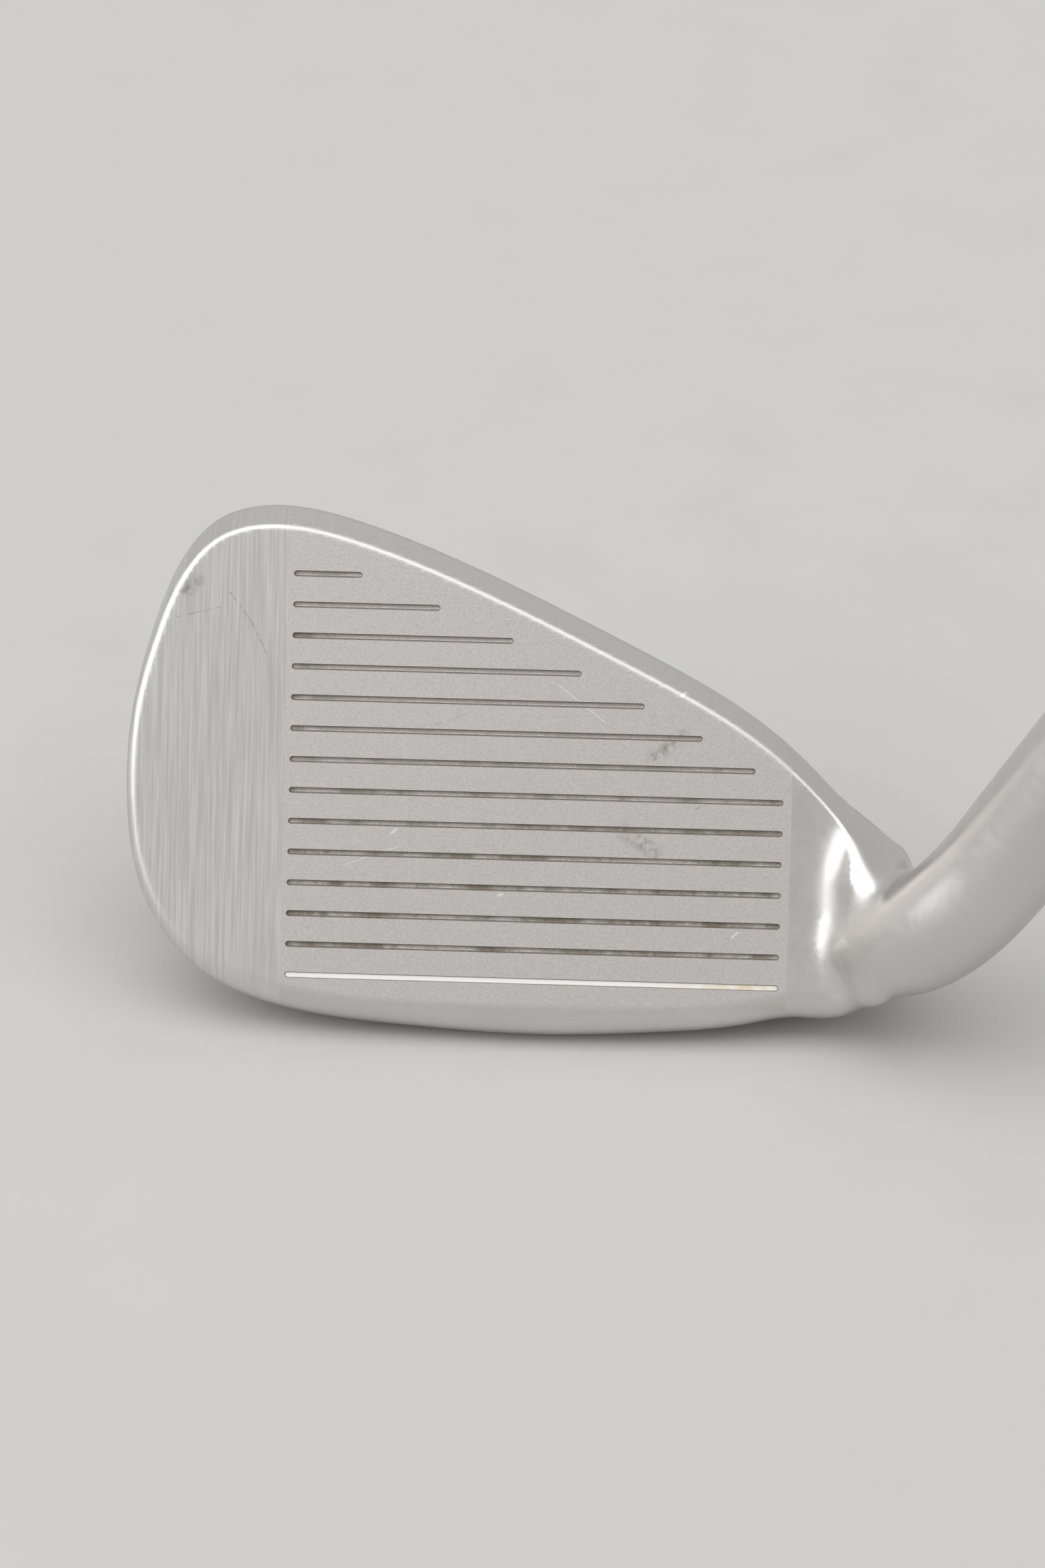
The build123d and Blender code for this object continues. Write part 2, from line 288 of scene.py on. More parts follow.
def head_outline():
    """The head's side walls, seen along Y, as (x, z)."""
    sole = [(x, rocker_v(x)) for x in (-30, -15, 0, 15, 24, 30.5)]
    heel = [(35.3, -31.3), (38.6, -29.0), (41.3, -26.2), (43.4, -22.8), (44.3, -18.6), (43.2, -14.4)]
    topline = [(40.8, -11.5), (36.0, -6.4), (28.0, 1.3), (10.0, 11.8), (-10.0, 21.0), (-22.0, 25.3)]
    toe = [(-31.0, 26.8), (-37.5, 25.2), (-41.6, 20.9), (-44.9, 13.2), (-47.1, 4.5),
           (-47.6, -5.0), (-46.3, -15.0), (-42.4, -23.4), (-37.0, -28.6)]
    line = spline(sole + heel + topline + toe, 0.25, closed=True)
    return np.stack([line[:, 0], FACE_ORIGIN[2] + line[:, 1] * cos(LOFT)], axis=1)


def side_point(v, w):
    point = on_face(0, v, w)
    return (point[1], point[2])


def back_line():
    """The back of the head, seen along X, as (y, z), from the sole up."""
    corners = [(6.0, -8.0), (8.0, 1.4), side_point(-17.5, -16.6), side_point(-9.5, -9.4),
               side_point(-3.0, -5.4), side_point(60.0, -5.4)]
    return divided(filleted(corners, (2.2, 4.0, 2.2, 3.0), 0.2), 0.25)


def cavity_line():
    top = [(26.0, -3.6), (10.0, 5.2), (-10.0, 14.6), (-25.0, 20.2)]
    toe = [(-32.5, 20.6), (-37.6, 15.4), (-40.6, 6.0), (-40.8, -3.0)]
    bottom = [(-37.0, -7.6), (-28.0, -8.4), (0.0, -8.6), (22.0, -8.6), (28.0, -7.6)]
    return spline(top + toe + bottom, 0.25, closed=True)


OUTLINE = Profile(head_outline(), True, (-54, -6), (60, 68))
STEP = Profile(
    divided(filleted([(75.0, 34.0), (35.9, 2.9), (33.9, 0.0), (-60.0, 0.0)], (0.9, 5.0), 0.15), 0.25),
    False, (-60, -30), (75, 40))
BACK = Profile(back_line(), False, (-22, -6), (34, 68))
CAVITY = Profile(cavity_line(), True, (-54, -46), (60, 46))
HEEL = spline([
    (*on_face(34.0, -21.5, -5.0), 3.6),
    (*on_face(38.0, -20.6, -2.0), 4.8),
    (*on_face(41.8, -19.4, 1.2), 6.0),
    (*on_face(45.9, -16.7, 5.0), 6.6),
    (*on_axis(29.5), HOSEL_RADIUS),
    (*on_axis(34.0), HOSEL_RADIUS),
], 0.4, closed=False)
HEEL = np.vstack([HEEL, [(*on_axis(90.0), HOSEL_RADIUS)]])
WEB = spline([
    (*on_face(36.0, -12.5, -4.5), 2.4),
    (*on_face(41.0, -14.0, -1.0), 3.2),
    (*on_face(46.0, -14.2, 4.0), 4.4),
], 0.6, closed=False)


def front_surface(p):
    """The flat face and, at the heel, the step that rises from it to the hosel."""
    local = p - FACE_ORIGIN
    u, v, w = local @ U, local @ V, local @ W
    below = np.minimum(v - STEP_BEND_START, 0.0)
    span = STEP_FADE[1] - STEP_FADE[0]
    t = np.clip((v - STEP_FADE[0]) / span, 0.0, 1.0)
    scale = STEP_LEAST + (1 - STEP_LEAST) * t * t * (3 - 2 * t)
    d, n = STEP(np.stack([u - STEP_BEND * below**2, w / scale], axis=1))
    slope = 2 * STEP_BEND * below
    thin = (1 - STEP_LEAST) * 6 * t * (1 - t) / span
    g = n[:, :1] * U + (n[:, 1] / scale)[:, None] * W
    g = g - (n[:, 0] * slope + n[:, 1] * w * thin / scale**2)[:, None] * V
    size = np.linalg.norm(g, axis=1)
    return d / size, g / size[:, None]


def blade(p):
    x, y, z = p.T
    fade = np.clip((CAMBER_TOP - z) / CAMBER_BLEND, 0.0, 1.0)
    camber = np.where(y > 0, SOLE_CAMBER_REAR, SOLE_CAMBER_FRONT)
    d, n = OUTLINE(np.stack([x, z - y**2 / (2 * camber) * fade], axis=1))
    wall = (d, np.stack([n[:, 0], -n[:, 1] * y / camber * fade, n[:, 1]], axis=1))
    under = np.clip(-n[:, 1], 0, 1) ** 1.5
    toe = np.clip(-n[:, 0], 0, 1) ** 2
    lead = np.interp(x, HEEL_LEAD_X, (LEAD_EDGE_RADIUS, HEEL_LEAD_RADIUS))
    radius = RIM_EDGE_RADIUS + (lead - RIM_EDGE_RADIUS) * under
    radius = radius + (TOE_EDGE_RADIUS - RIM_EDGE_RADIUS) * toe
    radius = np.maximum(radius, np.interp(x, HEEL_EDGE_X, (RIM_EDGE_RADIUS, HEEL_EDGE_RADIUS)))
    front = meet(wall, front_surface(p), radius)
    d, n = BACK(np.stack([y, z], axis=1))
    back = (d, np.stack([np.zeros_like(d), n[:, 0], n[:, 1]], axis=1))
    solid = meet(front, back, BACK_EDGE_RADIUS + 1.0 * under)
    return carve(solid, pocket(p), 0.7)


def pocket(p):
    """The cavity in the back and the channel below it."""
    local = p - FACE_ORIGIN
    u, v = local @ U, local @ V
    d, n = CAVITY(np.stack([u, v], axis=1))
    side = (d, n[:, :1] * U + n[:, 1:] * V)
    cavity = meet(side, half_space(p, on_face(0, 0, -2.7), W), 0.5)
    channel = meet(half_space(p, on_face(-27.0, 0), -U), half_space(p, on_face(19.0, 0), U), 0.3)
    for origin, normal in (((0, -7.0, 0), V), ((0, -18.0, 0), -V), ((0, 0, -3.2), W), ((0, 0, -6.4), -W)):
        channel = meet(channel, half_space(p, on_face(*origin), normal), 0.3)
    return join(cavity, channel, 0.3)


def hosel(p):
    limb = join(chain(p, HEEL), chain(p, WEB), WEB_FILLET)
    return meet(limb, half_space(p, on_axis(HOSEL_TOP), AXIS), 0.35)


def bored(p, solid):
    off = p - AXIS_FOOT
    s = off @ AXIS
    off = off - s[:, None] * AXIS
    size = np.maximum(np.linalg.norm(off, axis=1), 1e-9)
    bore = meet((size - BORE_RADIUS, off / size[:, None]), half_space(p, on_axis(BORE_BOTTOM), -AXIS), 0.4)
    return carve(solid, bore, 0.4)


def head(p):
    """The whole head but its grooves."""
    d = np.full(len(p), 50.0)
    n = np.tile(W, (len(p), 1))
    low = p[:, 0] < BLADE_END_X
    d[low], n[low] = blade(p[low])
    high = p[:, 0] > HOSEL_START_X
    q = p[high]
    upward = np.clip((n[high][:, 2] - WALL_FACING[0]) / (WALL_FACING[1] - WALL_FACING[0]), 0.0, 1.0)
    small, root, large = HEEL_FILLET
    inward = np.interp(q[:, 0], HEEL_FILLET_X, (root, large))
    fillet = inward + (small - inward) * upward
    d[high], n[high] = bored(q, join((d[high], n[high]), hosel(q), fillet))
    return d, n


# ---------------------------------------------------------------- meshes

def net(field, low, high, cell):
    """Vertices and quads of a field's surface, by surface nets on a block-sparse grid."""
    low = np.array(low, float)
    blocks = np.ceil((np.array(high) - low) / (4 * cell)).astype(int)
    counts = 4 * blocks + 1

    def at(index):
        return np.stack([i.ravel() for i in index], axis=1) * cell + low

    coarse = field(at(np.meshgrid(*[np.arange(b + 1) * 4 for b in blocks], indexing="ij")))[0]
    coarse = coarse.reshape(blocks + 1)
    near = [(np.arange(c) + 2) // 4 for c in counts]
    values = coarse[np.ix_(*near)].copy()
    fine = np.abs(values) < 4.4 * cell
    values[fine] = field(at(np.nonzero(fine)))[0]
    inside = values < 0

    corners = [(i, j, k) for i in (0, 1) for j in (0, 1) for k in (0, 1)]
    nx, ny, nz = counts - 1
    filled = sum(inside[i:i + nx, j:j + ny, k:k + nz].astype(np.int8) for i, j, k in corners)
    cells = np.stack(np.nonzero((filled > 0) & (filled < 8)), axis=1)
    total = np.zeros((len(cells), 3))
    hits = np.zeros(len(cells))
    for a in corners:
        for axis in range(3):
            if a[axis]:
                continue
            step = np.eye(3, dtype=int)[axis]
            va = values[tuple((cells + a).T)]
            vb = values[tuple((cells + a + step).T)]
            cross = (va < 0) != (vb < 0)
            t = np.where(cross, va / np.where(cross, va - vb, 1), 0)
            total += np.where(cross[:, None], np.array(a) + t[:, None] * step, 0)
            hits += cross
    points = (cells + total / hits[:, None]) * cell + low

    number = np.full(counts - 1, -1)
    number[tuple(cells.T)] = np.arange(len(cells))
    quads = []
    for axis in range(3):
        order = [axis, (axis + 1) % 3, (axis + 2) % 3]
        ins = inside.transpose(order)
        num = number.transpose(order)
        here = ins[:-1, 1:-1, 1:-1]
        there = ins[1:, 1:-1, 1:-1]
        ring = [num[:, :-1, :-1], num[:, 1:, :-1], num[:, 1:, 1:], num[:, :-1, 1:]]
        out = np.stack([r[here & ~there] for r in ring], axis=1)
        back = np.stack([r[~here & there] for r in ring[::-1]], axis=1)
        quads += [out, back]
    return points, np.concatenate(quads)


def settle(field, points, quads, rounds):
    """Evens the net out, puts every vertex on the surface and softens the heel's fillets."""
    a = np.concatenate([quads[:, i] for i in range(4)])
    b = np.concatenate([quads[:, (i + 1) % 4] for i in range(4)])
    count = len(points)
    degree = np.bincount(a, minlength=count) + np.bincount(b, minlength=count)

    def around(values):
        """For each vertex, the sum of its neighbours' values."""
        sums = [np.bincount(a, values[b, k], count) + np.bincount(b, values[a, k], count) for k in range(3)]
        return np.stack(sums, axis=1)

    for _ in range(rounds):
        points = points + 0.6 * (around(points) / degree[:, None] - points)
        for _ in range(2):
            d, n = field(points)
            points = points - d[:, None] * n
    for _ in range(3):
        d, n = field(points)
        points = points - d[:, None] * n
    soft = ((points[:, 0] > SOFT_PART[0]) & (points[:, 0] < SOFT_PART[1]))[:, None]
    for k in range(SOFT_ROUNDS):
        mean = around(n) + n
        if k < SOFT_ROUNDS / 2:
            points = np.where(soft, 0.5 * points + 0.5 * around(points) / degree[:, None], points)
        n = np.where(soft, mean / np.linalg.norm(mean, axis=1)[:, None], n)
    return points, n


def groove_heel_end(v):
    return min(GROOVE_HEEL_END, 25.0 - 1.657 * v - 0.0228 * v**2)


def slot_ring(line, inset):
    """A groove's round-ended outline on the face, as (u, v), counter-clockwise."""
    v = line * GROOVE_PITCH
    half = GROOVE_WIDTH / 2
    left = GROOVE_TOE_END + half
    right = groove_heel_end(v) - half
    angles = np.linspace(-pi / 2, pi / 2, 9)
    radius = half - inset
    ends = [(right + radius * cos(t), v + radius * sin(t)) for t in angles]
    return ends + [(left - radius * cos(t), v - radius * sin(t)) for t in angles]


def boundary_loop(faces):
    """The single loop of vertices round a patch of faces."""
    sides = [np.stack([faces[:, i], faces[:, (i + 1) % 4]], axis=1) for i in range(4)]
    pairs = np.concatenate(sides)
    known = {(a, b) for a, b in pairs.tolist()}
    follow = {a: b for a, b in known if (b, a) not in known}
    start = next(iter(follow))
    loop = [start]
    while follow[loop[-1]] != start:
        loop.append(follow[loop[-1]])
    if len(loop) != len(follow):
        raise ValueError(f"the flat face has more than one edge: {len(loop)} of {len(follow)}")
    return loop


def face_patch(points, quads):
    """Takes the flat face out of the net, for grooves to be let in."""
    local = points - FACE_ORIGIN
    flat = np.abs(local @ W) < FLAT_TOLERANCE
    d, _ = OUTLINE(points[:, [0, 2]])
    flat &= (d < -PATCH_EDGE) & (points[:, 0] < PATCH_HEEL_X) & (local @ V > PATCH_LOW_V)
    patch = flat[quads].all(1)
    return quads[~patch], boundary_loop(quads[patch])


def grooved_face(points, loop):
    """Triangles for the flat face round the grooves, and quads down into each groove."""
    local = points[loop] - FACE_ORIGIN
    edge = np.stack([local @ U, local @ V], axis=1)
    flat = [Vector(q) for q in edge]
    rings = [slot_ring(line, 0.0) for line in GROOVE_LINES]
    constraints = [(i, (i + 1) % len(loop)) for i in range(len(loop))]
    for ring in rings:
        first = len(flat)
        flat += [Vector(q) for q in ring]
        constraints += [(first + i, first + (i + 1) % len(ring)) for i in range(len(ring))]
    out, _, triangles, origin, _, _ = geometry.delaunay_2d_cdt(flat, constraints, [], 1, 1e-6)
    if len(out) != len(flat):
        raise ValueError("the groove outlines cross the face's edge")
    source = {i: olds[0] for i, olds in enumerate(origin)}
    base = len(points)
    extra = [on_face(q.x, q.y) for q in flat[len(loop):]]
    number = {i: (loop[s] if s < len(loop) else base + s - len(loop)) for i, s in source.items()}
    faces = []
    for tri in triangles:
        centre = sum((out[i] for i in tri), Vector((0, 0))) / 3
        if not in_groove(centre.x, centre.y):
            faces.append([number[i] for i in tri])
    return faces, extra, groove_walls(extra, base)


def in_groove(u, v):
    line = round(v / GROOVE_PITCH)
    if line not in GROOVE_LINES:
        return False
    half = GROOVE_WIDTH / 2
    nearest = min(max(u, GROOVE_TOE_END + half), groove_heel_end(line * GROOVE_PITCH) - half)
    return (u - nearest) ** 2 + (v - line * GROOVE_PITCH) ** 2 < half**2


def groove_walls(extra, base):
    faces = []
    count = len(slot_ring(0, 0.0))
    for k, line in enumerate(GROOVE_LINES):
        above = list(range(base + k * count, base + (k + 1) * count))
        for inset, depth in GROOVE_SECTION:
            first = base + len(extra)
            extra += [on_face(u, v, -depth) for u, v in slot_ring(line, inset)]
            below = list(range(first, first + count))
            for i in range(count):
                j = (i + 1) % count
                faces.append([above[i], above[j], below[j], below[i]])
            above = below
        faces.append(above)
    return faces


def riding(name, mesh):
    """The mesh as an object that rides on the club's body."""
    piece = bpy.data.objects.new(name, mesh)
    bpy.context.scene.collection.objects.link(piece)
    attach(piece, "root")
    return piece


def new_piece(name, points, faces, material, smooth_angle=None):
    """A riding mesh from points in mm."""
    mesh = bpy.data.meshes.new(name)
    mesh.from_pydata([tuple(p) for p in np.asarray(points) * MM], [], faces)
    mesh.materials.append(material)
    if smooth_angle:
        mesh.polygons.foreach_set("use_smooth", [True] * len(mesh.polygons))
        mesh.set_sharp_from_angle(angle=radians(smooth_angle))
    return riding(name, mesh)


def make_head(steel, groove_steel):
    points, quads = net(head, HEAD_LOW, HEAD_HIGH, HEAD_CELL)
    points, normals = settle(head, points, quads, 3)
    quads, loop = face_patch(points, quads)
    triangles, extra, walls = grooved_face(points, loop)
    patch_normals = len(slot_ring(0, 0.0)) * len(GROOVE_LINES)
    used = np.unique(np.concatenate([quads.ravel(), np.array(triangles).ravel()]))
    used = used[used < len(points)]
    number = np.full(len(points) + len(extra), -1)
    number[used] = np.arange(len(used))
    number[len(points):] = len(used) + np.arange(len(extra))
    every = np.vstack([points[used], extra])
    smooth = [number[q].tolist() for q in quads] + [number[t].tolist() for t in triangles]
    sunk = [number[w].tolist() for w in walls]
    piece = new_piece("iron_head", every, smooth + sunk, steel)
    mesh = piece.data
    mesh.materials.append(groove_steel)
    kinds = [0] * len(smooth) + [1] * len(sunk)
    mesh.polygons.foreach_set("material_index", kinds)
    mesh.polygons.foreach_set("use_smooth", [k == 0 for k in kinds])
    sunk_normals = np.zeros((len(extra) - patch_normals, 3))
    shading = np.vstack([normals[used], np.tile(W, (patch_normals, 1)), sunk_normals])
    corner = np.empty(len(mesh.loops), dtype=int)
    mesh.loops.foreach_get("vertex_index", corner)
    per_loop = shading[corner]
    first_sunk = mesh.polygons[len(smooth)].loop_start
    per_loop[first_sunk:] = 0.0
    mesh.normals_split_custom_set(per_loop.tolist())
    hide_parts("head_body")


def lathe(name, line, material):
    """A surface of revolution about the shaft axis, from (radius, s) points going up outside."""
    across = np.array((0.0, -1.0, 0.0))
    other = np.cross(AXIS, across)
    sides = LATHE_SIDES
    points = []
    for radius, s in line:
        for a in np.arange(sides) * 2 * pi / sides:
            points.append(on_axis(s) + radius * (across * cos(a) + other * sin(a)))
    faces = []
    for i in range(len(line) - 1):
        for j in range(sides):
            k = (j + 1) % sides
            up = i + 1
            faces.append((i * sides + j, i * sides + k, up * sides + k, up * sides + j))
    return new_piece(name, points, faces, material, LATHE_SMOOTH_ANGLE)


# ---------------------------------------------------------------- materials

class Shader:
    """A short way to write a node material."""

    def __init__(self, name):
        self.material = bpy.data.materials.new(name)
        self.material.use_nodes = True
        self.tree = self.material.node_tree
        self.tree.nodes.clear()
        coordinates = self.add("ShaderNodeTexCoord")
        self.place = coordinates.outputs["Object"]

    def add(self, kind, inputs=(), **settings):
        node = self.tree.nodes.new(kind)
        for key, value in settings.items():
            setattr(node, key, value)
        for key, value in dict(inputs).items():
            socket = node.inputs[key]
            if isinstance(value, bpy.types.NodeSocket):
                self.tree.links.new(value, socket)
            else:
                socket.default_value = value
        return node

    def math(self, operation, *values, clamp=False):
        node = self.add("ShaderNodeMath", enumerate(values), operation=operation, use_clamp=clamp)
        return node.outputs[0]

    def along(self, direction, offset=0.0):
        """The place's coordinate along a direction, in mm."""
        node = self.add("ShaderNodeVectorMath", {0: self.place, 1: tuple(np.array(direction) / MM)},
                        operation="DOT_PRODUCT")
        return self.math("SUBTRACT", node.outputs["Value"], offset)

    def pack(self, x, y, z=0.0):
        return self.add("ShaderNodeCombineXYZ", {"X": x, "Y": y, "Z": z}).outputs[0]

    def streaks(self, *scaled, detail=4.0, roughness=0.7):
        """Noise on (coordinate, scale) pairs, drawn out where a scale is small."""
        place = self.pack(*[self.math("MULTIPLY", value, scale) for value, scale in scaled])
        return self.noise(1.0, place, detail=detail, roughness=roughness)

    def noise(self, scale, vector=None, detail=2.0, roughness=0.5, distortion=0.0):
        inputs = {"Vector": vector or self.place, "Scale": scale, "Detail": detail,
                  "Roughness": roughness, "Distortion": distortion}
        return self.add("ShaderNodeTexNoise", inputs).outputs["Fac"]

    def ramp(self, value, low, high, start=0.0, end=1.0, smooth=True):
        inputs = {"Value": value, "From Min": low, "From Max": high, "To Min": start, "To Max": end}
        kind = "SMOOTHSTEP" if smooth else "LINEAR"
        return self.add("ShaderNodeMapRange", inputs, interpolation_type=kind).outputs[0]

    def mix(self, factor, a, b):
        node = self.add("ShaderNodeMix", data_type="RGBA")
        for socket, value in ((node.inputs[0], factor), (node.inputs[6], a), (node.inputs[7], b)):
            if isinstance(value, bpy.types.NodeSocket):
                self.tree.links.new(value, socket)
            else:
                socket.default_value = value if isinstance(value, float) else (*value, 1.0)
        return node.outputs[2]

    def bump(self, height, distance, strength):
        inputs = {"Height": height, "Distance": distance, "Strength": strength}
        return self.add("ShaderNodeBump", inputs).outputs[0]

    def finish(self, **inputs):
        values = {}
        for key, value in inputs.items():
            name = key.replace("_", " ").title().replace("Ior", "IOR")
            values[name] = (*value, 1.0) if isinstance(value, tuple) else value
        surface = self.add("ShaderNodeBsdfPrincipled", values)
        self.add("ShaderNodeOutputMaterial", {"Surface": surface.outputs[0]})
        return self.material


def stroke(shader, u, v, start, end, width):
    """1 along a thin mark from start to end on the face, falling to 0 at its width."""
    a = np.array(start)
    ab = np.array(end) - a
    length = ab @ ab
    du = shader.math("SUBTRACT", u, a[0])
    dv = shader.math("SUBTRACT", v, a[1])
    along_u = shader.math("MULTIPLY", du, ab[0] / length)
    along_v = shader.math("MULTIPLY", dv, ab[1] / length)
    t = shader.math("ADD", along_u, along_v)
    t = shader.math("ADD", t, 0.0, clamp=True)
    eu = shader.math("SUBTRACT", du, shader.math("MULTIPLY", t, ab[0]))
    ev = shader.math("SUBTRACT", dv, shader.math("MULTIPLY", t, ab[1]))
    squares = shader.math("ADD", shader.math("POWER", eu, 2.0), shader.math("POWER", ev, 2.0))
    away = shader.math("POWER", squares, 0.5)
    return shader.ramp(away, 0.0, width, 1.0, 0.0)


DARK_MARKS = (
    ((-36.0, 19.0), (-33.4, 15.6), 0.16), ((-33.4, 15.6), (-31.6, 12.0), 0.14),
    ((-41.4, 19.0), (-39.6, 20.2), 1.2), ((-42.0, 16.0), (-36.5, 17.4), 0.1),
    ((13.0, 1.2), (16.4, 3.8), 1.3), ((10.2, -7.4), (13.6, -9.6), 1.5), ((23.0, 6.2), (23.5, 6.5), 0.5),
    ((-12.0, 4.4), (-8.5, 5.6), 0.1), ((18.0, -4.6), (21.0, -3.2), 0.12),
)
LIGHT_MARKS = (
    ((-16.7, -8.2), (-16.2, -7.8), 0.25), ((-4.2, -15.1), (-3.8, -14.9), 0.25),
    ((22.8, -19.2), (23.4, -18.6), 0.2), ((16.3, 8.5), (16.8, 8.9), 0.3),
    ((-22.0, -12.0), (-16.0, -9.8), 0.07), ((2.0, 9.4), (7.5, 5.2), 0.08),
)


def steel_material():
    s = Shader("head_steel")
    u = s.along(U)
    v = s.along(V, FACE_ORIGIN @ V)
    w = s.along(W, FACE_ORIGIN @ W)
    wobble = s.noise(900.0, detail=3.0)
    edge = s.ramp(s.math("ABSOLUTE", s.math("ADD", u, s.math("MULTIPLY", wobble, 0.06))),
                  BLAST_HALF_WIDTH + 0.02, BLAST_HALF_WIDTH + 0.16, 1.0, 0.0)
    front = s.ramp(w, -4.2, -3.2)
    above = s.ramp(v, -28.2, -27.2)
    blast = s.math("MULTIPLY", edge, s.math("MULTIPLY", front, above))
    toe = s.math("MULTIPLY", s.ramp(u, -29.4, -29.2, 1.0, 0.0), front)

    grain = s.noise(5200.0, detail=2.0, roughness=0.7)
    cloud = s.noise(70.0, detail=4.0, roughness=0.6)
    upright = s.streaks((u, 3.4), (v, 0.07), roughness=0.65)
    swirl = s.noise(260.0, detail=6.0, roughness=0.7, distortion=1.2)
    fine = s.streaks((u, 0.25), (v, 9.0), (w, 9.0), detail=3.0)

    dark = None
    for start, end, width in DARK_MARKS:
        mark = stroke(s, u, v, start, end, width)
        dark = mark if dark is None else s.math("MAXIMUM", dark, mark)
    light = None
    for start, end, width in LIGHT_MARKS:
        mark = stroke(s, u, v, start, end, width)
        light = mark if light is None else s.math("MAXIMUM", light, mark)
    front_only = s.ramp(w, -1.0, -0.6)
    patchy = s.ramp(s.noise(1500.0, detail=4.0), 0.3, 0.75)
    dark = s.math("MULTIPLY", s.math("MULTIPLY", dark, front_only), patchy)
    light = s.math("MULTIPLY", light, front_only)

    tone = s.mix(cloud, (0.60, 0.585, 0.57), (0.70, 0.69, 0.68))
    blasted = s.mix(s.ramp(grain, 0.3, 0.7), (0.60, 0.58, 0.565), (0.655, 0.635, 0.62))
    colour = s.mix(blast, tone, blasted)
    colour = s.mix(s.math("MULTIPLY", toe, s.ramp(upright, 0.35, 0.7)), colour, (0.72, 0.71, 0.695))
    colour = s.mix(s.math("MULTIPLY", dark, 0.6), colour, (0.19, 0.165, 0.145))
    colour = s.mix(s.math("MULTIPLY", light, 0.8), colour, (0.9, 0.9, 0.89))

    polished = s.ramp(swirl, 0.3, 0.75, 0.27, 0.40)
    satin = s.ramp(upright, 0.3, 0.7, 0.33, 0.44)
    matte = s.ramp(grain, 0.3, 0.7, 0.43, 0.55)
    roughness = s.add("ShaderNodeMix", {0: toe, 2: polished, 3: satin}).outputs[0]
    roughness = s.add("ShaderNodeMix", {0: blast, 2: roughness, 3: matte}).outputs[0]

    relief = s.math("MULTIPLY", grain, blast)
    relief = s.math("ADD", relief, s.math("MULTIPLY", s.math("MULTIPLY", upright, toe), 0.35))
    rest = s.math("SUBTRACT", 1.0, s.math("MAXIMUM", blast, toe))
    relief = s.math("ADD", relief, s.math("MULTIPLY", s.math("MULTIPLY", fine, rest), 0.25))
    relief = s.math("SUBTRACT", relief, s.math("MULTIPLY", dark, 0.8))
    normal = s.bump(relief, 0.00002, 0.3)
    return s.finish(base_color=colour, metallic=1.0, roughness=roughness, normal=normal)


def groove_material():
    s = Shader("groove_steel")
    v = s.along(V, FACE_ORIGIN @ V)
    u = s.along(U)
    w = s.along(W, FACE_ORIGIN @ W)
    lower = s.ramp(v, 14.0, -14.0)
    toe = s.ramp(u, -20.0, -28.0)
    patch = s.ramp(s.noise(240.0, detail=5.0, roughness=0.7), 0.38, 0.62)
    dirt = s.math("MULTIPLY", s.math("MAXIMUM", lower, s.math("MULTIPLY", toe, 0.8)), patch, clamp=True)
    # painted shade: this mask is 1 at the top of each groove's wall, by the face, and falls to 0 towards
    # the floor
    wall = s.ramp(w, -0.34, -0.06)
    clean = s.mix(s.noise(3000.0), (0.46, 0.44, 0.42), (0.6, 0.58, 0.56))
    soiled = s.mix(s.noise(1500.0, detail=4.0), (0.15, 0.125, 0.10), (0.33, 0.29, 0.24))
    colour = s.mix(dirt, clean, soiled)
    # painted shade: the upper groove walls are coloured dark for the shade along each groove's lip
    colour = s.mix(s.math("MULTIPLY", wall, 0.6), colour, (0.15, 0.13, 0.115))
    metal = s.math("SUBTRACT", 1.0, s.math("MULTIPLY", dirt, 0.8))
    rough = s.ramp(s.noise(2200.0), 0.3, 0.7, 0.4, 0.65)
    normal = s.bump(s.noise(3500.0), 0.00003, 0.5)
    return s.finish(base_color=colour, metallic=metal, roughness=rough, normal=normal)


def paint_material():
    s = Shader("groove_white")
    u = s.along(U)
    aged = s.math("MULTIPLY", s.ramp(u, 12.0, 28.0), s.ramp(s.noise(500.0, detail=4.0), 0.35, 0.65))
    chips = s.ramp(s.noise(1400.0, detail=5.0, roughness=0.7), 0.68, 0.74)
    colour = s.mix(aged, (0.87, 0.86, 0.84), (0.72, 0.64, 0.44))
    colour = s.mix(s.math("MULTIPLY", chips, 0.7), colour, (0.36, 0.34, 0.32))
    rough = s.ramp(s.noise(1900.0), 0.3, 0.7, 0.38, 0.6)
    normal = s.bump(s.noise(2400.0, detail=3.0), 0.00003, 0.5)
    return s.finish(base_color=colour, roughness=rough, normal=normal)


def mottled(name, dark, light, scale, rough, relief, metallic=0.0, detail=4.0, **more):
    """A material whose colour, roughness and surface vary together at one grain size."""
    s = Shader(name)
    grain = s.noise(scale, detail=detail, roughness=0.62)
    broad = s.noise(scale / 14.0, detail=3.0)
    both = s.math("ADD", s.math("MULTIPLY", grain, 0.6), s.math("MULTIPLY", broad, 0.4))
    colour = s.mix(s.ramp(both, 0.35, 0.65), dark, light)
    roughness = s.ramp(grain, 0.3, 0.7, rough[0], rough[1])
    return s.finish(base_color=colour, metallic=metallic, roughness=roughness,
                    normal=s.bump(grain, relief, 0.6), **more)


def chrome_material():
    s = Shader("shaft_chrome")
    along = s.along(AXIS, AXIS_FOOT @ AXIS)
    x = s.along(U)
    y = s.along(np.array((0.0, 1.0, 0.0)))
    lines = s.streaks((x, 2.5), (y, 2.5), (along, 0.02))
    specks = s.ramp(s.noise(900.0, detail=5.0, roughness=0.75), 0.7, 0.76)
    colour = s.mix(lines, (0.66, 0.67, 0.69), (0.78, 0.785, 0.79))
    colour = s.mix(s.math("MULTIPLY", specks, 0.5), colour, (0.34, 0.32, 0.30))
    rough = s.math("ADD", s.ramp(lines, 0.3, 0.7, 0.09, 0.2), s.math("MULTIPLY", specks, 0.25))
    return s.finish(base_color=colour, metallic=1.0, roughness=rough, normal=s.bump(lines, 0.000006, 0.4))


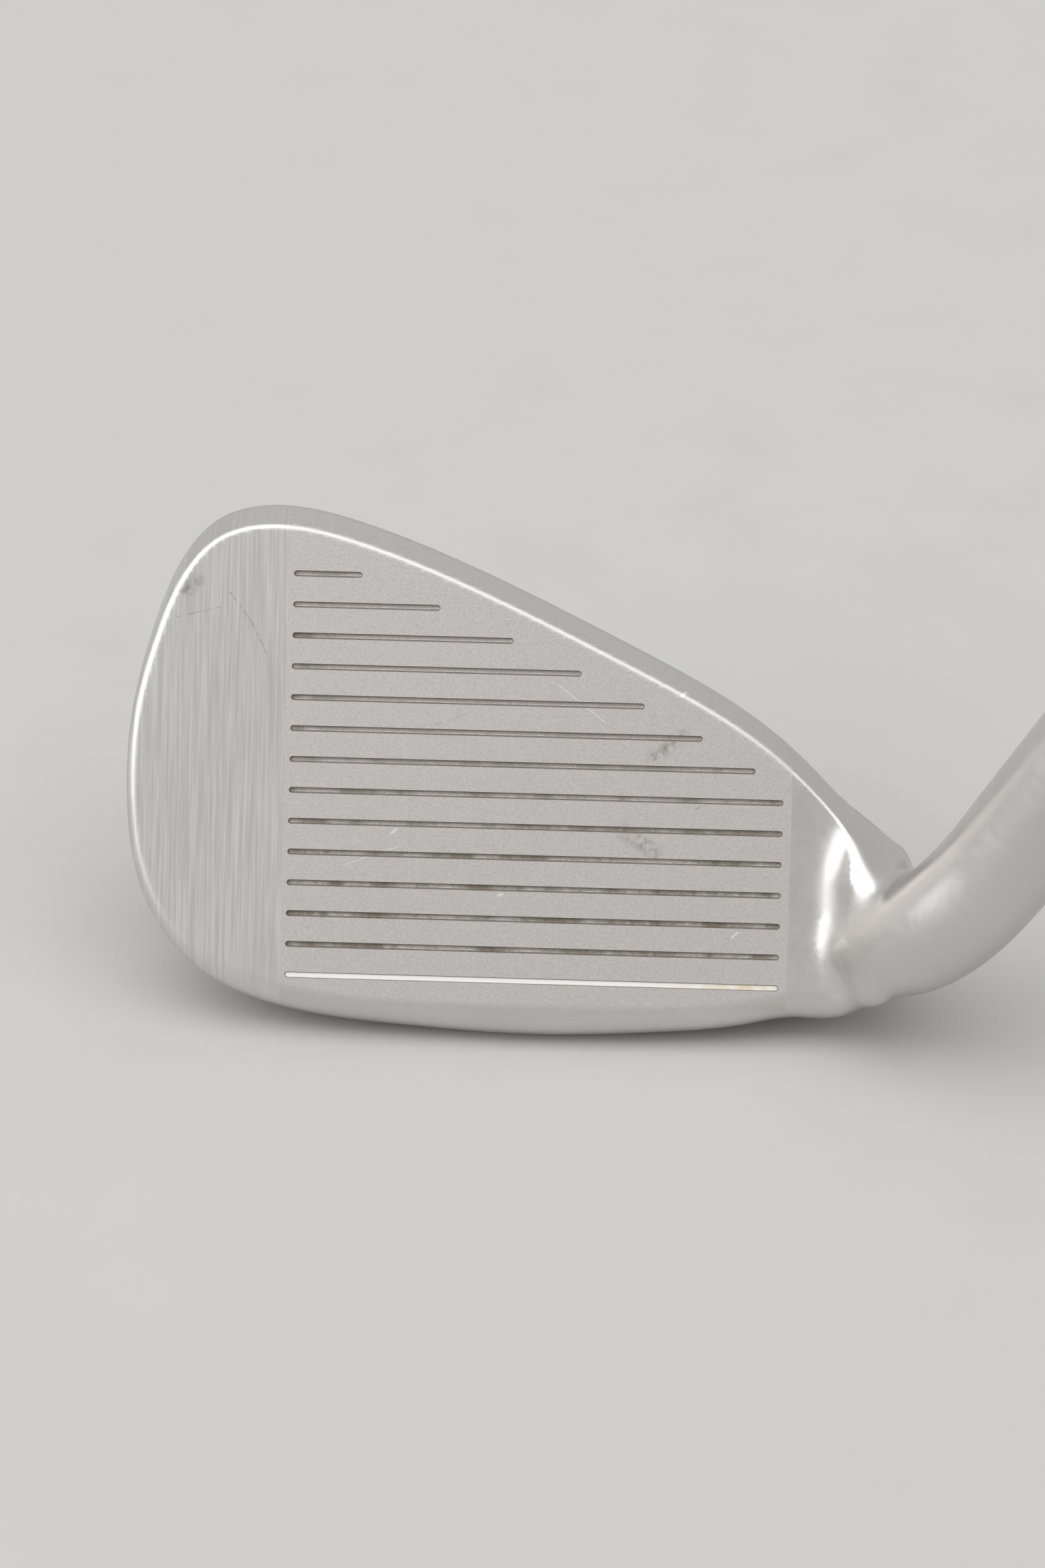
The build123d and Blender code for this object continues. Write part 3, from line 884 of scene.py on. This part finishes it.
def band_material():
    s = Shader("band_vinyl")
    along = s.along(AXIS, AXIS_FOOT @ AXIS + BAND_BOTTOM)
    stripe = s.math("MULTIPLY", s.ramp(along, 5.0, 5.1), s.ramp(along, 7.0, 7.1, 1.0, 0.0))
    other = s.math("MULTIPLY", s.ramp(along, 17.0, 17.1), s.ramp(along, 19.0, 19.1, 1.0, 0.0))
    fibre = s.noise(1300.0, detail=4.0)
    colour = s.mix(fibre, (0.085, 0.095, 0.115), (0.12, 0.13, 0.15))
    colour = s.mix(s.math("MAXIMUM", stripe, other), colour, (0.66, 0.67, 0.68))
    rough = s.ramp(fibre, 0.3, 0.7, 0.3, 0.45)
    return s.finish(base_color=colour, roughness=rough, normal=s.bump(fibre, 0.00002, 0.3))


def badge_material():
    s = Shader("badge_plate")
    u = s.along(U)
    v = s.along(V, FACE_ORIGIN @ V)
    brushed = s.streaks((u, 0.1), (v, 12.0))
    lines = s.math("SINE", s.math("MULTIPLY", s.math("ADD", u, v), 2 * pi / 1.6))
    field = s.ramp(s.along(W, FACE_ORIGIN @ W), -4.13, -4.05)
    lines = s.math("MULTIPLY", s.ramp(lines, 0.1, 0.5), field)
    dark = s.mix(brushed, (0.055, 0.06, 0.07), (0.13, 0.135, 0.15))
    dark = s.mix(s.math("MULTIPLY", lines, 0.4), dark, (0.19, 0.195, 0.21))
    colour = s.mix(field, s.mix(brushed, (0.39, 0.4, 0.42), (0.52, 0.53, 0.55)), dark)
    rough = s.ramp(brushed, 0.3, 0.7, 0.24, 0.42)
    height = s.math("ADD", brushed, s.math("MULTIPLY", lines, 1.5))
    return s.finish(base_color=colour, metallic=0.85, roughness=rough, normal=s.bump(height, 0.00003, 0.5))


def grip_material(name):
    s = Shader(name)
    pores = s.noise(2600.0, detail=4.0, roughness=0.7)
    wear = s.noise(38.0, detail=4.0)
    colour = s.mix(s.ramp(wear, 0.35, 0.7), (0.018, 0.018, 0.019), (0.045, 0.044, 0.043))
    colour = s.mix(s.math("MULTIPLY", pores, 0.25), colour, (0.09, 0.088, 0.085))
    rough = s.ramp(wear, 0.3, 0.7, 0.6, 0.78)
    return s.finish(base_color=colour, roughness=rough, normal=s.bump(pores, 0.00006, 0.6))


# ---------------------------------------------------------------- the other pieces

def shaft_line():
    """The stepped tube's outside, from the bore's bottom to the butt, and its ends."""
    tip, butt, steps = 4.70, 7.62, 14
    rise = (butt - tip) / steps
    ramp = ((0.0, 0.0), (0.2, 0.2), (0.8, 0.6), (1.0, 0.8))
    line = [(tip - SHAFT_WALL, SHAFT_TIP), (tip, SHAFT_TIP)]
    for step in range(steps):
        s = SHAFT_FIRST_STEP + step * SHAFT_STEP_PITCH
        radius = tip + step * rise
        line += [(radius + rise * part, s + up) for part, up in ramp]
    return line + [(butt, CAP_BOTTOM - 0.1), (butt - SHAFT_WALL, CAP_BOTTOM - 0.1)]


def ferrule_line():
    bottom = HOSEL_TOP + 0.03
    collar = [(4.75, 0.0), (6.62, 0.0), (6.62, 3.0)]
    rings = [(6.48, 3.15), (6.48, 3.6), (6.6, 3.75), (6.55, 6.4), (6.38, 6.55), (6.36, 7.0), (6.48, 7.15)]
    taper = [(6.2, 13.0), (5.78, 19.0)]
    corners = [(radius, bottom + up) for radius, up in collar + rings + taper]
    radii = (0.2, 0.3, 0.1, 0.1, 0.1, 0.3, 0.1, 0.1, 0.1, 8.0, 8.0, 0.3)
    return filleted(corners + [(5.4, FERRULE_TOP), (4.75, FERRULE_TOP)], radii, 0.12)


def band_line():
    bottom = [(7.66, BAND_BOTTOM + 0.02), (7.73, BAND_BOTTOM + 0.06)]
    return bottom + [(7.73, BAND_TOP - 0.06), (7.66, BAND_TOP - 0.02)]


def grip_radius(s):
    lip = [GRIP_START + up for up in (0.0, 0.6, 3.0, 4.2)]
    return np.interp(s, lip + [CLUB_LENGTH - 50.0, CAP_BOTTOM], (8.9, 9.35, 9.35, 8.9, 12.05, 13.15))


def make_grip(material):
    """The sleeve, its moulded lattice cut into the surface."""
    sides, step, motif = 132, 0.5, 6
    lattice_depth, ring_depth = 0.32, 0.25
    first, pitch, ring_at, last = 14, 42, 40.5, 9
    rows = int((CAP_BOTTOM - GRIP_START) / step)
    s = GRIP_START + np.arange(rows + 1) * (CAP_BOTTOM - 0.05 - GRIP_START) / rows
    i, j = np.meshgrid(np.arange(rows + 1), np.arange(sides), indexing="ij")
    cut = np.array((1.0, 0.45, 0.0, 0.0, 0.0, 0.45))
    lattice = np.maximum(cut[(i + j) % motif], cut[(i - j) % motif])
    along = i * step
    off_ring = np.abs((along - first) % pitch - ring_at)
    panel = (along > first) & (along < rows * step - last) & (off_ring > 1.6)
    ring = (along > first) & (off_ring < 0.3)
    radius = grip_radius(s)[:, None] - lattice_depth * np.where(panel, lattice, 0.0) - ring_depth * ring
    angle = np.arange(sides)[:, None] * 2 * pi / sides
    across = np.array((0.0, -1.0, 0.0))
    outward = np.cos(angle) * across + np.sin(angle) * np.cross(AXIS, across)
    middle = AXIS_FOOT + s[:, None, None] * AXIS
    sleeve = (middle + radius[..., None] * outward).reshape(-1, 3)
    mouth = on_axis(GRIP_START) + 7.85 * outward
    faces = []
    for a in range(rows):
        for b in range(sides):
            c = (b + 1) % sides
            faces.append((a * sides + b, a * sides + c, (a + 1) * sides + c, (a + 1) * sides + b))
    base = len(sleeve)
    faces += [(base + b, base + (b + 1) % sides, (b + 1) % sides, b) for b in range(sides)]
    piece = new_piece("grip", np.vstack([sleeve, mouth]), faces, material, 50)
    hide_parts("grip_sleeve")


def cap_line():
    """The butt cap: a domed edge, two moulded rings and the vent hole."""
    side = [(8.0, CAP_BOTTOM), (13.55, CAP_BOTTOM)]
    top = [(13.55, 0.0), (10.6, 0.0), (10.3, 0.5), (9.4, 0.5), (9.1, 0.02), (5.0, 0.02), (4.8, 0.4),
           (4.0, 0.4), (3.8, 0.04), (1.65, 0.04)]
    corners = side + [(radius, CLUB_LENGTH - depth) for radius, depth in top] + [(1.65, CAP_BOTTOM)]
    return filleted(corners, (0.3, 1.6, 0.15, 0.15, 0.15, 0.15, 0.15, 0.12, 0.12, 0.12, 0.2), 0.15)


def badge_ring():
    """The badge's outline: the cavity's, drawn in, and ended above the damper."""
    gap, lowest_v = 0.85, -6.9
    line = cavity_line()
    along = np.roll(line, -1, axis=0) - np.roll(line, 1, axis=0)
    along /= np.linalg.norm(along, axis=1)[:, None]
    inset = (line - gap * np.stack([along[:, 1], -along[:, 0]], axis=1))[::3]
    first_low = np.argmax(inset[:, 1] <= lowest_v)
    return [(u, v) for u, v in np.roll(inset, -first_low, axis=0) if v > lowest_v]


def make_badge(material):
    """The plate in the cavity, with a bevelled rim and a sunk panel."""
    bm = bmesh.new()
    base = bm.faces.new([bm.verts.new(on_face(u, v, -3.02) * MM) for u, v in badge_ring()])
    extruded = bmesh.ops.extrude_face_region(bm, geom=[base])["geom"]
    top = [f for f in extruded if isinstance(f, bmesh.types.BMFace)][0]
    bmesh.ops.translate(bm, verts=list(top.verts), vec=Vector(-W * 1.16 * MM))
    bmesh.ops.bevel(bm, geom=list(top.edges), offset=0.22 * MM, segments=3, profile=0.6, affect="EDGES")
    bmesh.ops.recalc_face_normals(bm, faces=bm.faces)
    top = min(bm.faces, key=lambda f: f.calc_center_median().dot(Vector(W)))
    bmesh.ops.inset_region(bm, faces=[top], thickness=1.5 * MM, depth=0.0)
    bmesh.ops.inset_region(bm, faces=[top], thickness=0.2 * MM, depth=-0.2 * MM)
    bmesh.ops.recalc_face_normals(bm, faces=bm.faces)
    mesh = bpy.data.meshes.new("badge")
    bm.to_mesh(mesh)
    bm.free()
    mesh.materials.append(material)
    mesh.polygons.foreach_set("use_smooth", [True] * len(mesh.polygons))
    mesh.set_sharp_from_angle(angle=radians(30))
    piece = riding("badge", mesh)
    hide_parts("cavity_badge")


def refinish(node, material):
    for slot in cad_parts[node].material_slots:
        slot.material = material


# ---------------------------------------------------------------- camera, light and floor

VIEW_AZIMUTH = 1.47
VIEW_ELEVATION = 36.29
VIEW_DISTANCE = 422.5
VIEW_ROLL = 0.70
VIEW_TARGET = on_face(-1.77, -2.16)
LENS = 84.3


def make_camera():
    a, e = radians(VIEW_AZIMUTH), radians(VIEW_ELEVATION)
    back = Vector((sin(a) * cos(e), -cos(a) * cos(e), sin(e)))
    turn = back.to_track_quat("Z", "Y") @ Matrix.Rotation(radians(VIEW_ROLL), 3, "Z").to_quaternion()
    data = bpy.data.cameras.new("camera")
    data.lens = LENS
    data.sensor_width = 36.0
    data.clip_start = 0.01
    data.clip_end = 200.0
    camera = bpy.data.objects.new("camera", data)
    camera.rotation_mode = "QUATERNION"
    camera.rotation_quaternion = turn
    camera.location = Vector(VIEW_TARGET * MM) + back * VIEW_DISTANCE * MM
    bpy.context.scene.collection.objects.link(camera)
    bpy.context.scene.camera = camera


def area_light(name, place, target, size, power):
    data = bpy.data.lights.new(name, "AREA")
    data.shape = "RECTANGLE"
    data.size, data.size_y = size
    data.energy = power
    light = bpy.data.objects.new(name, data)
    light.location = place
    light.visible_camera = False
    light.rotation_mode = "QUATERNION"
    light.rotation_quaternion = (Vector(place) - Vector(target)).to_track_quat("Z", "Y")
    bpy.context.scene.collection.objects.link(light)


def make_studio():
    world = bpy.data.worlds.new("studio")
    world.use_nodes = True
    background = world.node_tree.nodes["Background"]
    background.inputs["Color"].default_value = (1.0, 0.985, 0.965, 1.0)
    background.inputs["Strength"].default_value = 0.6
    bpy.context.scene.world = world
    bpy.context.scene.view_settings.view_transform = "Standard"
    area_light("overhead", (0.2, -0.3, 4.2), (0.2, 0.0, 0.0), (6.0, 3.4), 110.0)
    area_light("left", (-3.6, -1.5, 2.7), (0.0, 0.0, 0.0), (4.0, 3.6), 75.0)
    s = Shader("floor_pale")
    grain = s.noise(60.0, detail=4.0)
    colour = s.mix(grain, (0.50, 0.50, 0.49), (0.53, 0.53, 0.52))
    material = s.finish(base_color=colour, roughness=0.85, normal=s.bump(grain, 0.0004, 0.1))
    mesh = bpy.data.meshes.new("floor")
    half = 60.0
    corners = [(-half, -half, 0), (half, -half, 0), (half, half, 0), (-half, half, 0)]
    mesh.from_pydata(corners, [], [(0, 1, 2, 3)])
    mesh.materials.append(material)
    floor = bpy.data.objects.new("floor", mesh)
    bpy.context.scene.collection.objects.link(floor)


make_head(steel_material(), groove_material())
piece = lathe("shaft_tube", shaft_line(), chrome_material())
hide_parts("shaft")
ferrule = mottled("ferrule_black", (0.012, 0.012, 0.013), (0.022, 0.022, 0.024),
                  700.0, (0.16, 0.3), 0.000008, specular_ior_level=0.6)
piece = lathe("ferrule_collar", ferrule_line(), ferrule)
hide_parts("ferrule")
piece = lathe("shaft_label", band_line(), band_material())
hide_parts("shaft_band")
make_grip(grip_material("grip_rubber"))
piece = lathe("butt_cap", cap_line(), grip_material("cap_rubber"))
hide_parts("grip_cap")
make_badge(badge_material())
refinish("groove_paint", paint_material())
refinish("cavity_damper", mottled("damper_rubber", (0.03, 0.03, 0.032), (0.06, 0.06, 0.062),
                                  1500.0, (0.55, 0.75), 0.00004))
refinish("badge_adhesive", mottled("foam_adhesive", (0.21, 0.21, 0.22), (0.29, 0.29, 0.30),
                                   1800.0, (0.7, 0.85), 0.00005))
refinish("hosel_epoxy", mottled("epoxy", (0.42, 0.36, 0.24), (0.56, 0.5, 0.36), 600.0, (0.2, 0.4), 0.00002))
refinish("tip_weight", mottled("tip_brass", (0.62, 0.47, 0.24), (0.76, 0.6, 0.33),
                               900.0, (0.25, 0.4), 0.00001, 1.0))
refinish("grip_tape", mottled("tape", (0.66, 0.62, 0.52), (0.76, 0.72, 0.62), 1200.0, (0.65, 0.8), 0.00003))
make_camera()
make_studio()
